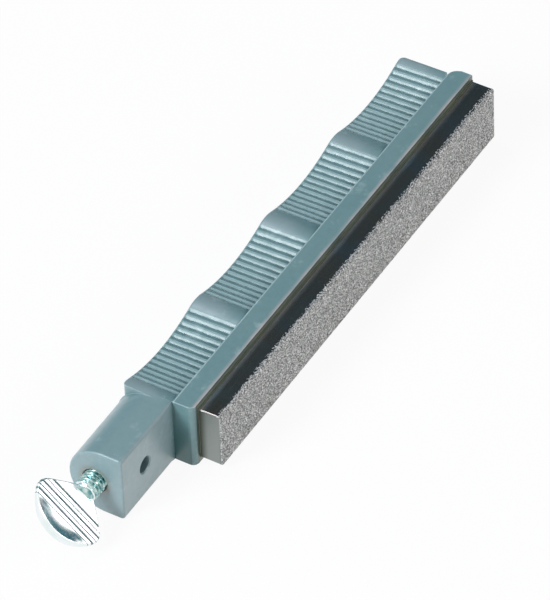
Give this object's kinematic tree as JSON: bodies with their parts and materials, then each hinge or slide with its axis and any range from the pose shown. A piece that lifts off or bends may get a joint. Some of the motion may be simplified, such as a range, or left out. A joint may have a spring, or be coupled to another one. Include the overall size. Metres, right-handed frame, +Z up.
{
  "type": "diamond sharpening stone for a guided knife sharpener",
  "caption": "Plated bar with a diamond grit face on a moulded holder with finger hollows, a cross hole for a guide rod and a thumb screw.",
  "frame": {"origin": "bottom centre of the whole object, on the surface that it rests on", "axes": "+X along the bar from the thumb screw to the far end, +Y from the diamond face to the grip's back, +Z up"},
  "size_m": [0.1368, 0.021, 0.015],
  "materials": {
    "moulded_plastic": "satin moulded",
    "adhesive": "cured adhesive",
    "nickel_plated_steel": "polished sides, satin ends",
    "diamond_grit": "grit held in matt nickel",
    "zinc_plated_steel": "bright zinc plate"
  },
  "bodies": {
    "hone": {"holder": "moulded_plastic", "adhesive_bed": "adhesive", "steel_bar": "nickel_plated_steel", "diamond_layer": "diamond_grit"},
    "screw": {"thumb_screw": "zinc_plated_steel"}
  },
  "joints": [
    {"name": "screw_turn", "type": "hinge", "parent": "hone", "child": "screw", "pos_m": [-0.0531, 0.0045, 0.0075], "axis": [1, 0, 0], "range_deg": [-630, 330]}
  ]
}
